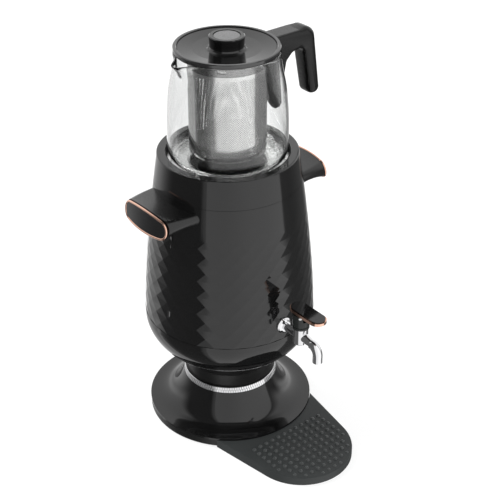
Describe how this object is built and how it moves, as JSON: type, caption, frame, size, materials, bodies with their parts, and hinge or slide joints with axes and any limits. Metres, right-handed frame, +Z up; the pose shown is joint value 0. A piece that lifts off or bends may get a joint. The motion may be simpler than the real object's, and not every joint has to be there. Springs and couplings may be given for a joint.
{
  "type": "samovar",
  "caption": "Electric samovar: faceted kettle body on a trumpet foot with a lever tap, drip tray, side handles and a glass teapot with infuser and lid.",
  "frame": {"origin": "on the body axis at the surface the samovar stands on", "axes": "+Z up, -Y the front with the tap and the drip tray, +X the side of the teapot handle; side handles on +X and -X"},
  "size_m": [0.2635, 0.3147, 0.5118],
  "materials": {
    "black_gloss": "polished",
    "black_satin": "satin",
    "tray_grey": "fine grain",
    "lid_grey": "satin",
    "rose_metal": "polished rose tone",
    "chrome": "polished",
    "stainless": "brushed",
    "aluminium": "cast",
    "clear_glass": "clear",
    "rubber_black": "matte",
    "silicone": "matte",
    "connector_white": "matte",
    "brass_insert": "turned"
  },
  "bodies": {
    "base": {"base_plate": "black_satin", "foot_ring": "rubber_black", "base_screws": "stainless", "foot_bell": "black_gloss", "knurled_ring": "chrome", "neck_collar": "black_satin", "lower_bowl": "black_gloss", "body_shell": "black_gloss", "top_collar": "black_gloss", "seat_ring": "rubber_black", "seat_dish": "stainless", "water_tank": "stainless", "heater_plate": "aluminium", "heating_element": "stainless", "thermostat": "black_satin", "tank_bracket": "stainless", "tie_bolts": "stainless", "clamp_washer": "stainless", "cord_gland": "rubber_black", "terminal_block": "connector_white", "handle_left": "black_gloss", "handle_left_trim": "rose_metal", "handle_left_pad": "black_gloss", "handle_right": "black_gloss", "handle_right_trim": "rose_metal", "handle_right_pad": "black_gloss", "handle_screws": "stainless", "tap_flange": "chrome", "tap_body": "chrome", "tap_spout": "chrome", "tap_bonnet": "black_gloss", "tap_nut": "brass_insert", "tap_gasket": "silicone", "tap_spring": "stainless", "lever_pin": "stainless"},
    "tray": {"drip_tray": "tray_grey"},
    "lever": {"tap_lever": "black_gloss", "lever_trim": "rose_metal"},
    "valve": {"tap_stem": "stainless", "stem_pin": "stainless", "valve_cup": "silicone"},
    "teapot": {"pot_glass": "clear_glass", "pot_bracket": "black_satin", "pot_handle": "black_gloss", "pot_handle_panel": "lid_grey", "pot_handle_trim": "rose_metal", "pot_screws": "stainless"},
    "infuser": {"infuser_rim": "stainless", "infuser_basket": "stainless", "infuser_base": "stainless"},
    "lid": {"lid_rim": "lid_grey", "lid_plate": "lid_grey", "lid_seal": "silicone", "lid_knob": "black_gloss", "knob_cap": "lid_grey", "knob_screw": "stainless", "knob_insert": "brass_insert"}
  },
  "joints": [
    {"name": "tray_slide", "type": "slide", "parent": "base", "child": "tray", "axis": [0, -1, 0], "range_m": [0, 0.08]},
    {"name": "tap_lever_press", "type": "hinge", "parent": "base", "child": "lever", "pos_m": [0, -0.1445, 0.204], "axis": [1, 0, 0], "range_deg": [0, 25], "stiffness_Nm_per_rad": 0.04, "springref_deg": -14.32},
    {"name": "valve_lift", "type": "slide", "parent": "base", "child": "valve", "axis": [0, 0, 1], "range_m": [0, 0.0033], "deforming": ["tap_spring"]},
    {"name": "teapot_lift", "type": "slide", "parent": "base", "child": "teapot", "axis": [0, 0, 1], "range_m": [0, 0.15]},
    {"name": "infuser_lift", "type": "slide", "parent": "teapot", "child": "infuser", "axis": [0, 0, 1], "range_m": [0, 0.13]},
    {"name": "lid_lift", "type": "slide", "parent": "infuser", "child": "lid", "axis": [0, 0, 1], "range_m": [0, 0.05]}
  ],
  "couplings": [
    {"joint": "valve_lift", "follows": "tap_lever_press", "m_per_rad": 0.00735}
  ]
}
